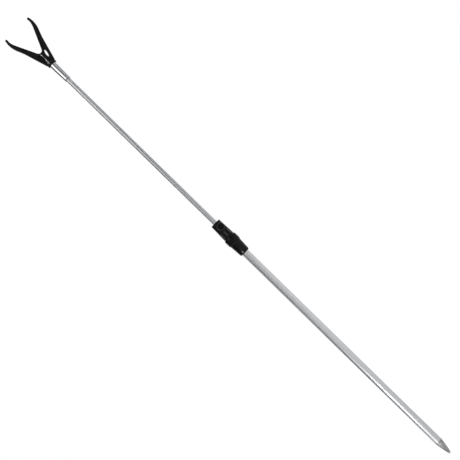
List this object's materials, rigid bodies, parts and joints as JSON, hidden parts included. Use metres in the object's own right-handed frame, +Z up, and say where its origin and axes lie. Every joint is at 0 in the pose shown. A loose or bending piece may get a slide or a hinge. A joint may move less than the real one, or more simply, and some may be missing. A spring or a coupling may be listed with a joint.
{
  "type": "bank stick",
  "caption": "Telescopic bank stick of aluminium tube with a forged point, a black twist lock and a V-shaped rod rest that screws into a chrome-plated ferrule.",
  "frame": {"origin": "tip of the point, on the stick's axis", "axes": "+Z up along the stick, towards the rod rest; +X in the plane of the rod rest's arms, towards the arm with the open slot; +Y away from the face that is seen in the picture"},
  "size_m": [0.0688, 0.0282, 1.2004],
  "materials": {
    "aluminium_tube": "drawn, satin",
    "forged_aluminium": "forged, rough",
    "chrome_plate": "bright plated",
    "black_plastic": "moulded, semi-gloss",
    "stud_steel": "turned",
    "nylon": "natural"
  },
  "bodies": {
    "lower": {"outer_tube": "aluminium_tube", "ground_spike": "forged_aluminium", "lock_body": "black_plastic", "mouth_bush": "nylon"},
    "clamp": {"collet": "nylon"},
    "collar": {"lock_nut": "black_plastic"},
    "guide": {"guide_ring": "nylon"},
    "upper": {"inner_tube": "aluminium_tube", "end_plug": "nylon", "ferrule": "chrome_plate"},
    "stud": {"head_stud": "stud_steel"},
    "head": {"rod_rest": "black_plastic"}
  },
  "joints": [
    {"name": "lock_lift", "type": "slide", "parent": "lower", "child": "clamp", "axis": [0, 0, 1], "range_m": [0, 0.002]},
    {"name": "lock_turn", "type": "hinge", "parent": "clamp", "child": "collar", "pos_m": [0, 0, 0.631], "axis": [0, 0, 1], "range_deg": [0, 360]},
    {"name": "upper_slide", "type": "slide", "parent": "lower", "child": "guide", "axis": [0, 0, 1], "range_m": [-0.403, 0]},
    {"name": "upper_turn", "type": "hinge", "parent": "guide", "child": "upper", "pos_m": [0, 0, 0.8], "axis": [0, 0, 1], "continuous": true},
    {"name": "head_lift", "type": "slide", "parent": "upper", "child": "stud", "axis": [0, 0, 1], "range_m": [0, 0.01143]},
    {"name": "head_turn", "type": "hinge", "parent": "stud", "child": "head", "pos_m": [0, 0, 1.103], "axis": [0, 0, 1], "range_deg": [0, 3240]}
  ],
  "couplings": [
    {"joint": "lock_turn", "follows": "lock_lift", "rad_per_m": 3141.6},
    {"joint": "head_turn", "follows": "head_lift", "rad_per_m": 4947.4}
  ]
}
